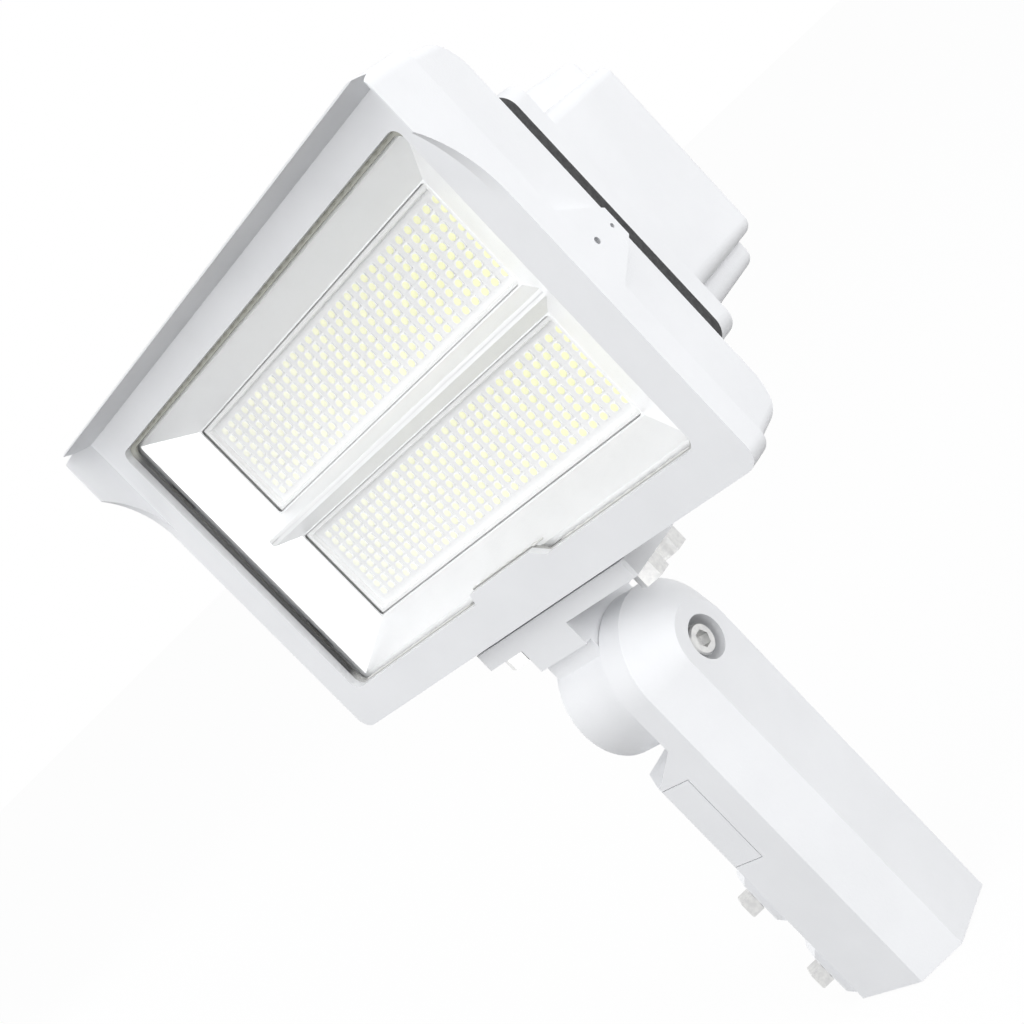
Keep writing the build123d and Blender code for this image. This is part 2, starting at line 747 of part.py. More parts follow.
# Housing: cast body with the lamp chamber in front and the driver chamber behind
with BuildPart() as housing:
    with BuildSketch(face_plane(frame_depth)):
        RectangleRounded(housing_width, housing_height, housing_corner)
    with BuildSketch(face_plane(housing_back)):
        RectangleRounded(housing_back_width, housing_back_height, housing_corner)
    loft()
    with BuildSketch(Plane.YZ.offset(-housing_width / 2)):
        with Locations(((frame_depth + housing_back) / 2 - face_front, head_mid)):
            rounded = Rectangle(housing_depth, housing_height)
        fillet(rounded.vertices().group_by(Axis.X)[-1], radius=housing_end_round)
    extrude(amount=housing_width, mode=Mode.INTERSECT)
    with BuildSketch(Plane.XY.offset(pad_bottom)):
        with Locations((plate_shift, pad_y)):
            Rectangle(pad_width, pad_depth)
    extrude(amount=pad_rise)
    for side in (-1, 1):
        with BuildSketch(Plane.YZ.offset(side * (head_width / 2 - side_boss_root))):
            with BuildLine():
                Polyline(
                    (frame_depth - face_front, head_mid - side_boss_base / 2),
                    (
                        frame_depth + side_boss_shoulder_rise - face_front,
                        head_mid - side_boss_shoulder / 2,
                    ),
                    (frame_depth + side_boss_rise - face_front, head_mid - side_boss_top / 2),
                    (frame_depth + side_boss_rise - face_front, head_mid + side_boss_top / 2),
                    (
                        frame_depth + side_boss_shoulder_rise - face_front,
                        head_mid + side_boss_shoulder / 2,
                    ),
                    (frame_depth - face_front, head_mid + side_boss_base / 2),
                    close=True,
                )
            make_face()
        extrude(amount=side * side_boss_root)
        with BuildSketch(Plane.YZ.offset(side * head_width / 2)):
            with Locations((frame_depth + side_hole_back - face_front, head_mid)):
                Circle(side_hole_diameter / 2)
        extrude(amount=-side * side_hole_depth, mode=Mode.SUBTRACT)
        with BuildSketch(Plane.YZ.offset(side * head_width / 2)):
            with Locations((frame_depth + side_pin_hole_back - face_front, head_mid)):
                Circle(side_pin_hole_diameter / 2)
        extrude(amount=-side * side_pin_hole_depth, mode=Mode.SUBTRACT)
    with BuildSketch(face_plane(frame_depth)):
        RectangleRounded(chamber_x, chamber_z, chamber_corner)
    extrude(amount=-(board_wall_front - frame_depth), mode=Mode.SUBTRACT)
    with BuildSketch(face_plane(board_wall_front)):
        with Locations((0, -trough_z), (0, trough_z)):
            Rectangle(chamber_x - 2 * chamber_corner, trough_height)
    extrude(amount=-(trough_bottom - board_wall_front), mode=Mode.SUBTRACT)
    with BuildSketch(face_plane(housing_back, lid_box_lift)):
        Rectangle(box_cavity_width, box_cavity_height)
        Rectangle(wing_cavity_width, wing_cavity_height)
    extrude(amount=housing_back - board_wall_back, mode=Mode.SUBTRACT)
    with BuildSketch(face_plane(frame_depth)):
        RectangleRounded(gasket_ring_width, gasket_ring_height, frame_gasket_corner)
        RectangleRounded(
            gasket_ring_width - 2 * frame_gasket_width,
            gasket_ring_height - 2 * frame_gasket_width,
            frame_gasket_corner - frame_gasket_width,
            mode=Mode.SUBTRACT,
        )
    extrude(amount=-frame_gasket_depth, mode=Mode.SUBTRACT)
    with BuildSketch(face_plane(frame_depth)):
        with Locations(*frame_screw_spots):
            Circle(frame_screw_diameter / 2 + running_gap)
    extrude(amount=-housing_depth, mode=Mode.SUBTRACT)
    with BuildSketch(face_plane(frame_screw_sunk)):
        with Locations(*frame_screw_spots):
            Circle(frame_screw_head / 2 + screw_head_gap)
    extrude(amount=-(housing_back - frame_screw_sunk), mode=Mode.SUBTRACT)
    with BuildSketch(face_plane(housing_back, lid_lift)):
        with Locations(*lid_screw_spots):
            Circle(lid_screw_diameter / 2 + running_gap)
    extrude(amount=lid_screw_bite + screw_end_gap, mode=Mode.SUBTRACT)
    with BuildSketch(face_plane(board_wall_back + 1)):
        with Locations(*board_screw_spots):
            Circle(board_screw_diameter / 2 + running_gap)
        with Locations((wire_hole_x, 0)):
            Circle(wire_hole_diameter / 2)
    extrude(amount=board_wall_back - board_wall_front + 2, mode=Mode.SUBTRACT)
    with BuildSketch(face_plane(board_wall_back)):
        with Locations(*gear_screw_spots):
            Circle(gear_screw_diameter / 2 + running_gap)
    extrude(amount=gear_screw_bite + screw_end_gap, mode=Mode.SUBTRACT)
    with BuildSketch(Plane.XY.offset(pad_bottom)):
        with Locations(*knuckle_bolt_spots):
            Circle(knuckle_bolt_diameter / 2 + running_gap)
    extrude(amount=knuckle_bolt_bite + screw_end_gap, mode=Mode.SUBTRACT)
    with BuildSketch(Plane.XY.offset(pad_bottom)):
        with Locations((neck_x, 0)):
            Circle(wire_way_diameter / 2)
    extrude(amount=head_mid - trough_z - pad_bottom, mode=Mode.SUBTRACT)
    with BuildSketch(Plane.XY.offset(head_mid - trough_z)):
        with Locations((neck_x, inner_way_depth - face_front)):
            Circle(inner_way_diameter / 2)
    extrude(amount=trough_z - wing_cavity_height / 2 + lid_box_lift, mode=Mode.SUBTRACT)
save(housing, "housing")

# Gasket in the groove round the housing's front rim
with BuildPart() as frame_gasket:
    with BuildSketch(face_plane(frame_depth)):
        RectangleRounded(gasket_ring_width, gasket_ring_height, frame_gasket_corner)
        RectangleRounded(
            gasket_ring_width - 2 * frame_gasket_width,
            gasket_ring_height - 2 * frame_gasket_width,
            frame_gasket_corner - frame_gasket_width,
            mode=Mode.SUBTRACT,
        )
    extrude(amount=-frame_gasket_depth)
save(frame_gasket, "frame_gasket")

# Door frame: flat frame round the window, with the hood on its top edge
clip_x = window_width / 2 - clip_inset_x
clip_z = window_height / 2 - clip_inset_z
clip_middle = (clip_back - clip_reach) / 2
clip_spots = [
    (x * clip_x, side * lens_height / 2, 0) for x in (-1, -1 / 3, 1 / 3, 1) for side in (-1, 1)
]
clip_spots += [(side * lens_width / 2, z * clip_z, 90) for z in (-1, 1) for side in (-1, 1)]


def tab_outline(height):
    # The tab on the window's lower edge, steeper at its left end than at its right
    edge = -window_height / 2
    return (
        (tab_left, edge - 1),
        (tab_left, edge),
        (tab_left + height / 4, edge + height),
        (tab_right - tab_end_slope, edge + height),
        (tab_right, edge),
        (tab_right, edge - 1),
    )


def outward(spot, distance):
    # The same place moved outward from the window's edge
    x, z, turn = spot
    if turn:
        return (x + distance * (1 if x > 0 else -1), z)
    return (x, z + distance * (1 if z > 0 else -1))


with BuildPart() as door_frame:
    with BuildSketch(face_plane(0)):
        Rectangle(head_width, head_height)
    extrude(amount=-frame_depth)
    with BuildSketch(Plane.YZ.offset(-head_width / 2)):
        with BuildLine():
            Polyline(
                (-face_front, head_top - hood_run),
                (-face_front + frame_lip, head_top - hood_run),
                (-face_front + frame_lip, head_top),
                (-face_front - hood_projection, head_top),
                (-face_front - hood_projection, head_top - hood_straight),
            )
            RadiusArc(
                (-face_front - hood_projection, head_top - hood_straight),
                (-face_front, head_top - hood_run),
                hood_radius,
            )
        make_face()
    extrude(amount=head_width)
    with BuildSketch(face_plane(0)):
        with Locations((0, -hood_base_wall)):
            Rectangle(head_width - 2 * hood_base_wall, head_height)
    with BuildSketch(face_plane(-hood_projection)):
        with Locations((0, -hood_rim_wall)):
            Rectangle(head_width - 2 * hood_rim_wall, head_height)
    loft(mode=Mode.SUBTRACT)
    with BuildSketch(face_plane(frame_depth)):
        RectangleRounded(head_width, head_height, frame_corner)
    extrude(amount=frame_depth + hood_projection, mode=Mode.INTERSECT)
    with BuildSketch(face_plane(0)):
        RectangleRounded(window_width, window_height, window_corner)
        with BuildLine():
            Polyline(*tab_outline(tab_height), close=True)
        make_face(mode=Mode.SUBTRACT)
    extrude(amount=-frame_depth, mode=Mode.SUBTRACT)
    with BuildSketch(face_plane(frame_lip)):
        RectangleRounded(pocket_width, pocket_height, lens_corner)
    extrude(amount=-(frame_depth - frame_lip), mode=Mode.SUBTRACT)
    for spot in clip_spots:
        with BuildSketch(face_plane(lens_back)):
            with Locations(outward(spot, clip_middle)):
                Rectangle(
                    clip_length + 2 * clip_pocket_gap,
                    clip_back + clip_reach + 2 * clip_pocket_gap,
                    rotation=spot[2],
                )
        extrude(amount=-(frame_depth - lens_back), mode=Mode.SUBTRACT)
    with BuildSketch(face_plane(lens_back)):
        with Locations(*[outward(spot, clip_back / 2) for spot in clip_spots]):
            Circle(clip_screw_diameter / 2 + running_gap)
    extrude(amount=clip_screw_length - clip_thickness + clip_pocket_gap, mode=Mode.SUBTRACT)
    with BuildSketch(face_plane(frame_depth)):
        with Locations(*frame_screw_spots):
            Circle(frame_screw_diameter / 2 + running_gap)
    extrude(amount=frame_screw_bite + screw_end_gap, mode=Mode.SUBTRACT)
save(door_frame, "door_frame")

# Lens, the gasket between it and the frame's lip, and the clips that hold it
with BuildPart() as lens_gasket:
    with BuildSketch(face_plane(frame_lip)):
        RectangleRounded(pocket_width - 2 * running_gap, pocket_height - 2 * running_gap, lens_corner)
        with Locations((0, (gasket_show_bottom - gasket_show_top) / 2)):
            RectangleRounded(
                window_width - 2 * gasket_show,
                window_height - gasket_show_top - gasket_show_bottom,
                window_corner,
                mode=Mode.SUBTRACT,
            )
        with BuildLine():
            Polyline(*tab_outline(tab_height + tab_gasket_show), close=True)
        make_face()
    extrude(amount=-gasket_thickness)
save(lens_gasket, "lens_gasket")

with BuildPart() as lens:
    with BuildSketch(face_plane(lens_front)):
        RectangleRounded(lens_width, lens_height, lens_corner)
    extrude(amount=-lens_thickness)
save(lens, "lens")

with BuildPart() as lens_clips:
    for spot in clip_spots:
        with BuildSketch(face_plane(lens_back)):
            with Locations(outward(spot, clip_middle)):
                Rectangle(clip_length, clip_back + clip_reach, rotation=spot[2])
        extrude(amount=-clip_thickness)
    with BuildSketch(face_plane(lens_back)):
        with Locations(*[outward(spot, clip_back / 2) for spot in clip_spots]):
            Circle(clip_screw_diameter / 2 + running_gap)
    extrude(amount=-clip_thickness, mode=Mode.SUBTRACT)
save(lens_clips, "lens_clips")

with BuildPart() as lens_clip_screws:
    with BuildSketch(face_plane(lens_back + clip_thickness)):
        with Locations(*[outward(spot, clip_back / 2) for spot in clip_spots]):
            Circle(clip_screw_head / 2)
    extrude(amount=-clip_screw_head_height)
    with BuildSketch(face_plane(lens_back + clip_thickness)):
        with Locations(*[outward(spot, clip_back / 2) for spot in clip_spots]):
            Circle(clip_screw_diameter / 2)
    extrude(amount=clip_screw_length)
save(lens_clip_screws, "lens_clip_screws")

with BuildPart() as frame_screws:
    with BuildSketch(face_plane(frame_screw_sunk)):
        with Locations(*frame_screw_spots):
            Circle(frame_screw_head / 2)
    extrude(amount=-frame_screw_head_height)
    with BuildSketch(face_plane(frame_screw_sunk)):
        with Locations(*frame_screw_spots):
            Circle(frame_screw_diameter / 2)
    extrude(amount=frame_screw_sunk - frame_depth + frame_screw_bite)
    with BuildSketch(face_plane(frame_screw_sunk + frame_screw_head_height)):
        with Locations(*frame_screw_spots):
            RegularPolygon(hex_radius(frame_screw_diameter / 2), 6)
    extrude(amount=frame_screw_head_height / 2, mode=Mode.SUBTRACT)
save(frame_screws, "frame_screws")

# Light engine: two boards, a holder frame on each, and the sheet reflector round them
for name, rise in zip(("lower", "upper"), board_rises):
    with BuildPart() as led_board:
        with BuildSketch(face_plane(board_wall_front, rise)):
            Rectangle(board_width, board_height)
            with Locations(*board_corners):
                Circle(board_screw_diameter / 2 + running_gap, mode=Mode.SUBTRACT)
        extrude(amount=board_thickness)
    save(led_board, f"{name}_led_board")
    with BuildPart() as board_holder:
        with BuildSketch(face_plane(board_front, rise)):
            Rectangle(board_frame_width, board_frame_height)
            Rectangle(
                board_frame_width - 2 * board_frame_wall,
                board_frame_height - 2 * board_frame_wall,
                mode=Mode.SUBTRACT,
            )
        extrude(amount=board_frame_thickness)
        chamfer(board_holder.faces().sort_by(Axis.Y)[0].edges(), length=board_frame_edge)
    save(board_holder, f"{name}_board_frame")

with BuildPart() as board_screws:
    with BuildSketch(face_plane(board_front)):
        with Locations(*board_screw_spots):
            Circle(board_screw_head / 2)
    extrude(amount=board_screw_head_height)
    with BuildSketch(face_plane(board_front)):
        with Locations(*board_screw_spots):
            Circle(board_screw_diameter / 2)
    extrude(amount=-(board_thickness + board_screw_bite))
save(board_screws, "board_screws")

with BuildPart() as reflector:
    with BuildSketch(face_plane(reflector_top)):
        RectangleRounded(reflector_width, reflector_height, reflector_corner)
    extrude(amount=-reflector_sheet)
    with BuildSketch(face_plane(reflector_top)):
        RectangleRounded(reflector_width, reflector_height, reflector_corner)
        RectangleRounded(
            reflector_width - 2 * reflector_sheet,
            reflector_height - 2 * reflector_sheet,
            reflector_corner - reflector_sheet,
            mode=Mode.SUBTRACT,
        )
    extrude(amount=-(frame_depth - reflector_top))
    for sign in (-1, 1):
        with BuildSketch(face_plane(reflector_bottom)):
            with Locations((0, sign * board_spacing / 2)):
                Rectangle(reflector_hole_width + 2 * sheet_side, reflector_hole_height + 2 * sheet_side)
        with BuildSketch(face_plane(reflector_top)):
            with Locations(
                (0, sign * (board_spacing / 2 + (edge_slope - ridge_slope) * reflector_rise / 2))
            ):
                Rectangle(
                    reflector_hole_width + 2 * sheet_side + 2 * end_slope * reflector_rise,
                    reflector_hole_height + 2 * sheet_side + (edge_slope + ridge_slope) * reflector_rise,
                )
        loft()
    for sign in (-1, 1):
        with BuildSketch(face_plane(reflector_bottom)):
            with Locations((0, sign * board_spacing / 2)):
                Rectangle(reflector_hole_width, reflector_hole_height)
        with BuildSketch(face_plane(reflector_top)):
            with Locations(
                (0, sign * (board_spacing / 2 + (edge_slope - ridge_slope) * reflector_rise / 2))
            ):
                Rectangle(
                    reflector_hole_width + 2 * end_slope * reflector_rise,
                    reflector_hole_height + (edge_slope + ridge_slope) * reflector_rise,
                )
        loft(mode=Mode.SUBTRACT)
    with BuildSketch(face_plane(ridge_depth)):
        Rectangle(reflector_hole_width + 2 * end_slope * ridge_rise, ridge_flat + 1)
    with BuildSketch(face_plane(reflector_top)):
        Rectangle(reflector_hole_width + 2 * end_slope * reflector_rise, ridge_flat + 1)
    loft(mode=Mode.SUBTRACT)
save(reflector, "reflector")

# Driver lid with its gasket and screws
with BuildPart() as lid_gasket:
    with BuildSketch(face_plane(housing_back, lid_lift)):
        RectangleRounded(lid_width, lid_height, lid_corner)
        with Locations((0, lid_box_lift - lid_lift)):
            Rectangle(box_cavity_width, box_cavity_height, mode=Mode.SUBTRACT)
            Rectangle(wing_cavity_width, wing_cavity_height, mode=Mode.SUBTRACT)
        with Locations(*lid_screw_spots):
            Circle(lid_screw_diameter / 2 + running_gap, mode=Mode.SUBTRACT)
    extrude(amount=-lid_gasket_thickness)
save(lid_gasket, "lid_gasket")

with BuildPart() as lid_wings:
    with BuildSketch(face_plane(lid_ledge - lid_box_step, lid_box_lift)):
        RectangleRounded(lid_wing_width, lid_wing_height, lid_box_corner)
    with BuildSketch(face_plane(lid_wing_back, lid_box_lift)):
        RectangleRounded(
            lid_wing_width - 2 * lid_wing_draft,
            lid_wing_height - 2 * lid_wing_draft,
            lid_box_corner - lid_wing_draft,
        )
    loft()
    fillet(lid_wings.faces().sort_by(Axis.Y)[-1].edges(), radius=lid_edge_round)

with BuildPart() as driver_lid:
    with BuildSketch(face_plane(lid_ledge - lid_box_step, lid_box_lift)):
        RectangleRounded(lid_box_width, lid_box_height, lid_box_corner)
    with BuildSketch(face_plane(lid_back, lid_box_lift)):
        RectangleRounded(lid_box_top_width, lid_box_top_height, lid_box_corner - lid_wing_draft)
    loft()
    fillet(driver_lid.faces().sort_by(Axis.Y)[-1].edges(), radius=lid_edge_round)
    add(lid_wings)
    with BuildSketch(face_plane(lid_front, lid_lift)):
        RectangleRounded(lid_width, lid_height, lid_corner)
    with BuildSketch(face_plane(lid_ledge, lid_lift)):
        RectangleRounded(lid_ledge_width, lid_height, lid_corner - lid_flange_draft)
    loft()
    with BuildSketch(face_plane(lid_front, lid_box_lift)):
        Rectangle(box_cavity_width, box_cavity_height)
    with BuildSketch(face_plane(lid_back - lid_wall, lid_box_lift)):
        Rectangle(lid_box_top_width - 2 * lid_wall, lid_box_top_height - 2 * lid_wall)
    loft(mode=Mode.SUBTRACT)
    with BuildSketch(face_plane(lid_front, lid_box_lift)):
        Rectangle(wing_cavity_width, wing_cavity_height)
    with BuildSketch(face_plane(lid_wing_back - lid_wall, lid_box_lift)):
        Rectangle(
            wing_cavity_width - 2 * lid_wing_draft, wing_cavity_height - 2 * lid_wing_draft
        )
    loft(mode=Mode.SUBTRACT)
    with BuildSketch(face_plane(lid_ledge, lid_lift)):
        with Locations(*lid_screw_spots):
            Circle(lid_screw_diameter / 2 + running_gap)
    extrude(amount=lid_flange_thickness, mode=Mode.SUBTRACT)
save(driver_lid, "driver_lid")

with BuildPart() as lid_screws:
    with BuildSketch(face_plane(lid_ledge, lid_lift)):
        with Locations(*lid_screw_spots):
            Circle(lid_screw_head / 2)
    extrude(amount=-lid_screw_head_height)
    with BuildSketch(face_plane(lid_ledge, lid_lift)):
        with Locations(*lid_screw_spots):
            Circle(lid_screw_diameter / 2)
    extrude(amount=lid_flange_thickness + lid_gasket_thickness + lid_screw_bite)
    with BuildSketch(face_plane(lid_ledge + lid_screw_head_height, lid_lift)):
        with Locations(*lid_screw_spots):
            RegularPolygon(hex_radius(lid_screw_diameter * 0.8), 6)
    extrude(amount=lid_screw_head_height / 2, mode=Mode.SUBTRACT)
save(lid_screws, "lid_screws")

# Driver and terminal block on their tray, behind the board wall
with BuildPart() as gear_tray:
    with BuildSketch(face_plane(board_wall_back)):
        Rectangle(tray_width, tray_height)
        with Locations(*gear_screw_spots):
            Circle(gear_screw_diameter / 2 + running_gap, mode=Mode.SUBTRACT)
    extrude(amount=-tray_thickness)
save(gear_tray, "gear_tray")

with BuildPart() as driver:
    with BuildSketch(face_plane(tray_back)):
        with Locations((driver_x, 0)):
            Rectangle(driver_width + 2 * driver_ear, driver_height)
    extrude(amount=-driver_ear_thickness)
    with BuildSketch(face_plane(tray_back)):
        with Locations((driver_x, 0)):
            RectangleRounded(driver_width, driver_height, driver_corner)
    extrude(amount=-driver_thickness)
    chamfer(driver.faces().sort_by(Axis.Y)[-1].edges(), length=edge_break)
    with BuildSketch(face_plane(tray_back)):
        with Locations(*driver_screw_spots):
            Circle(gear_screw_diameter / 2 + running_gap)
    extrude(amount=-driver_ear_thickness, mode=Mode.SUBTRACT)
save(driver, "driver")

with BuildPart() as terminal_block:
    with BuildSketch(face_plane(tray_back)):
        with Locations((terminal_x, 0)):
            Rectangle(terminal_width, terminal_height)
    extrude(amount=-terminal_thickness)
    with BuildSketch(face_plane(tray_back + terminal_thickness)):
        with Locations((terminal_x, 0)):
            with GridLocations(0, terminal_pitch, 1, terminal_ways):
                Circle(terminal_hole / 2)
    extrude(amount=terminal_thickness / 2, mode=Mode.SUBTRACT)
    with BuildSketch(face_plane(tray_back)):
        with Locations(*terminal_screw_spots):
            Circle(gear_screw_diameter / 2 + running_gap)
    extrude(amount=-terminal_thickness, mode=Mode.SUBTRACT)
save(terminal_block, "terminal_block")

with BuildPart() as driver_screws:
    with BuildSketch(face_plane(tray_back + driver_ear_thickness)):
        with Locations(*driver_screw_spots):
            Circle(gear_screw_head / 2)
    extrude(amount=-gear_screw_head_height)
    with BuildSketch(face_plane(tray_back + driver_ear_thickness)):
        with Locations(*driver_screw_spots):
            Circle(gear_screw_diameter / 2)
    extrude(amount=driver_ear_thickness + tray_thickness + gear_screw_bite)
save(driver_screws, "driver_screws")

with BuildPart() as terminal_screws:
    with BuildSketch(face_plane(tray_back + terminal_thickness)):
        with Locations(*terminal_screw_spots):
            Circle(gear_screw_head / 2)
    extrude(amount=-gear_screw_head_height)
    with BuildSketch(face_plane(tray_back + terminal_thickness)):
        with Locations(*terminal_screw_spots):
            Circle(gear_screw_diameter / 2)
    extrude(amount=terminal_thickness + tray_thickness + gear_screw_bite)
save(terminal_screws, "terminal_screws")
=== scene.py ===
"""Looks of an LED flood light with a slip fitter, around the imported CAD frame."""

import math

import bmesh
import bpy
from mathutils import Matrix, Vector


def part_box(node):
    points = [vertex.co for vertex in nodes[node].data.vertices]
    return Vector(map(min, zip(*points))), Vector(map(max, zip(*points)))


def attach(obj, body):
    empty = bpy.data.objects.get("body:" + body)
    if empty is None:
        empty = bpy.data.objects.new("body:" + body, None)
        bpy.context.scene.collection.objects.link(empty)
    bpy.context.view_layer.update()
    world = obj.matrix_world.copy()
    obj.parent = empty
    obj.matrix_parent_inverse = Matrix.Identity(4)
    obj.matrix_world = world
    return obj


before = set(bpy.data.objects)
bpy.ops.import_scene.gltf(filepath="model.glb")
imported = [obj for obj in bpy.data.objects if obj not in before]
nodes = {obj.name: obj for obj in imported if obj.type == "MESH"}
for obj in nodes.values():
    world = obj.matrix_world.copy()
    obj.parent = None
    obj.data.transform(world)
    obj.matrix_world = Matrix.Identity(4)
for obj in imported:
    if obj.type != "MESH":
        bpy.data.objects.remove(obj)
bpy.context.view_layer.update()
scene = bpy.context.scene


# ---------------------------------------------------------------- camera

CAMERA_PLACE = (0.5172, -0.5039, 0.3679)
CAMERA_RIGHT = (0.5567, 0.4615, -0.6907)
CAMERA_UP = (0.4299, 0.5514, 0.7149)
CAMERA_BACK = (0.7108, -0.6950, 0.1085)
CAMERA_LENS = 53.9

camera_data = bpy.data.cameras.new("view_camera")
camera_data.lens = CAMERA_LENS
camera_data.sensor_width = 36.0
camera_data.sensor_fit = "AUTO"
camera_data.clip_start = 0.02
camera_data.clip_end = 60.0
camera = bpy.data.objects.new("view_camera", camera_data)
scene.collection.objects.link(camera)
turn = Matrix((CAMERA_RIGHT, CAMERA_UP, CAMERA_BACK)).transposed().to_quaternion()
camera.matrix_world = Matrix.Translation(CAMERA_PLACE) @ turn.to_matrix().to_4x4()
scene.camera = camera


# ---------------------------------------------------------------- materials


class Shade:
    """One procedural material, built on the object's own coordinates."""

    def __init__(self, name):
        self.material = bpy.data.materials.new(name)
        self.material.use_nodes = True
        self.tree = self.material.node_tree
        self.tree.nodes.clear()
        self.output = self.tree.nodes.new("ShaderNodeOutputMaterial")
        self.surface = self.tree.nodes.new("ShaderNodeBsdfPrincipled")
        self.link(self.surface.outputs["BSDF"], self.output.inputs["Surface"])
        self.place = self.tree.nodes.new("ShaderNodeTexCoord").outputs["Object"]
        self.last_bump = None

    def link(self, source, target):
        self.tree.links.new(source, target)

    def set(self, **values):
        """Sets the shader's own sockets; a socket's spaces are written as _."""
        for name, value in values.items():
            self.surface.inputs[name.replace("_", " ")].default_value = value

    def noise(self, scale, detail=2.0, stretch=None):
        """Noise of about so many cells to the metre."""
        node = self.tree.nodes.new("ShaderNodeTexNoise")
        node.inputs["Scale"].default_value = scale
        node.inputs["Detail"].default_value = detail
        source = self.place
        if stretch:
            scaled = self.tree.nodes.new("ShaderNodeMapping")
            scaled.inputs["Scale"].default_value = stretch
            self.link(self.place, scaled.inputs["Vector"])
            source = scaled.outputs["Vector"]
        self.link(source, node.inputs["Vector"])
        return node.outputs["Fac"]

    def along(self, axis, low, high):
        """0 to 1 from low to high along X, Y or Z, in metres."""
        split = self.tree.nodes.new("ShaderNodeSeparateXYZ")
        self.link(self.place, split.inputs["Vector"])
        share = self.tree.nodes.new("ShaderNodeMapRange")
        share.inputs["From Min"].default_value = low
        share.inputs["From Max"].default_value = high
        self.link(split.outputs[axis], share.inputs["Value"])
        return share.outputs["Result"]

    def ramp(self, source, stops):
        """Turns a 0 to 1 pattern into colours; stops are (position, colour)."""
        node = self.tree.nodes.new("ShaderNodeValToRGB")
        while len(node.color_ramp.elements) < len(stops):
            node.color_ramp.elements.new(0.5)
        for element, (position, colour) in zip(node.color_ramp.elements, stops):
            element.position = position
            element.color = (*colour, 1.0)
        self.link(source, node.inputs["Fac"])
        return node.outputs["Color"]

    def colour(self, source, low, high, first=0.35, last=0.65):
        stops = ((first, low), (last, high))
        self.link(self.ramp(source, stops), self.surface.inputs["Base Color"])

    def roughness(self, source, low, high):
        stops = ((0.35, (low,) * 3), (0.65, (high,) * 3))
        self.link(self.ramp(source, stops), self.surface.inputs["Roughness"])

    def bump(self, source, height):
        """Adds relief of about this height in metres."""
        node = self.tree.nodes.new("ShaderNodeBump")
        node.inputs["Strength"].default_value = 1.0
        node.inputs["Distance"].default_value = height
        self.link(source, node.inputs["Height"])
        if self.last_bump is not None:
            self.link(self.last_bump, node.inputs["Normal"])
        self.last_bump = node.outputs["Normal"]
        self.link(self.last_bump, self.surface.inputs["Normal"])

    def painted_glow(self, colour, strength):
        """A faint painted glow: light painted into a surface that is no lit lamp."""
        self.set(Emission_Color=(*colour, 1.0), Emission_Strength=strength)


def powder_coat(name, low, high):
    """White powder coat on a casting: faint orange peel and a soft sheen."""
    shade = Shade(name)
    shade.colour(shade.noise(24.0, 4.0), low, high)
    shade.roughness(shade.noise(160.0, 3.0), 0.36, 0.48)
    shade.bump(shade.noise(900.0), 0.00006)
    shade.bump(shade.noise(3200.0), 0.00003)
    shade.set(IOR=1.48)
    return shade.material


def rubber_and_painted_reflection(name, low, high):
    """Matt rubber with a fine grain, also the grey of the beads that paint the LEDs'
    reflection.
    """
    shade = Shade(name)
    shade.colour(shade.noise(300.0, 3.0), low, high)
    shade.roughness(shade.noise(700.0), 0.55, 0.75)
    shade.bump(shade.noise(2400.0), 0.00005)
    return shade.material


def zinc(name, low, high):
    """Bright zinc plate over turned steel, faintly speckled."""
    shade = Shade(name)
    shade.colour(shade.noise(420.0, 4.0), low, high)
    shade.roughness(shade.noise(900.0, 3.0), 0.28, 0.40)
    shade.bump(shade.noise(700.0), 0.000004)
    shade.set(Metallic=1.0)
    return shade.material


def clear_glass(name):
    """Smooth tempered glass of a faintly uneven tint that lets the light in."""
    shade = Shade(name)
    shade.colour(shade.noise(8.0), (0.985, 0.995, 0.990), (0.995, 1.000, 0.997))
    shade.set(Roughness=0.0, IOR=1.45, Transmission_Weight=1.0)
    clear = shade.tree.nodes.new("ShaderNodeBsdfTransparent")
    clear.inputs["Color"].default_value = (1.0, 1.0, 1.0, 1.0)
    path = shade.tree.nodes.new("ShaderNodeLightPath")
    pick = shade.tree.nodes.new("ShaderNodeMixShader")
    either = shade.tree.nodes.new("ShaderNodeMath")
    either.operation = "MAXIMUM"
    shade.link(path.outputs["Is Shadow Ray"], either.inputs[0])
    shade.link(path.outputs["Is Diffuse Ray"], either.inputs[1])
    shade.link(either.outputs["Value"], pick.inputs["Fac"])
    shade.link(shade.surface.outputs["BSDF"], pick.inputs[1])
    shade.link(clear.outputs["BSDF"], pick.inputs[2])
    shade.link(pick.outputs["Shader"], shade.output.inputs["Surface"])
    return shade.material


def reflector_sheet(name):
    """Satin anodised reflector sheet with a fine stipple."""
    shade = Shade(name)
    shade.colour(shade.noise(60.0, 4.0), (0.94, 0.94, 0.95), (0.96, 0.96, 0.97))
    shade.roughness(shade.noise(300.0, 3.0), 0.34, 0.44)
    shade.bump(shade.noise(1100.0, 3.0), 0.00004)
    shade.set(Metallic=0.5)
    return shade.material


def board_mask(name):
    """White solder mask with a faint weave of the laminate under it."""
    shade = Shade(name)
    shade.colour(shade.noise(500.0, 3.0), (0.92, 0.92, 0.93), (0.95, 0.95, 0.955))
    shade.roughness(shade.noise(700.0), 0.30, 0.45)
    shade.bump(shade.noise(1500.0, 2.0, (1.0, 1.0, 3.0)), 0.00003)
    return shade.material


def moulded(name, low, high):
    """Moulded plastic, slightly uneven in gloss."""
    shade = Shade(name)
    shade.colour(shade.noise(180.0, 3.0), low, high)
    shade.roughness(shade.noise(500.0), 0.40, 0.55)
    shade.bump(shade.noise(2000.0), 0.00003)
    return shade.material


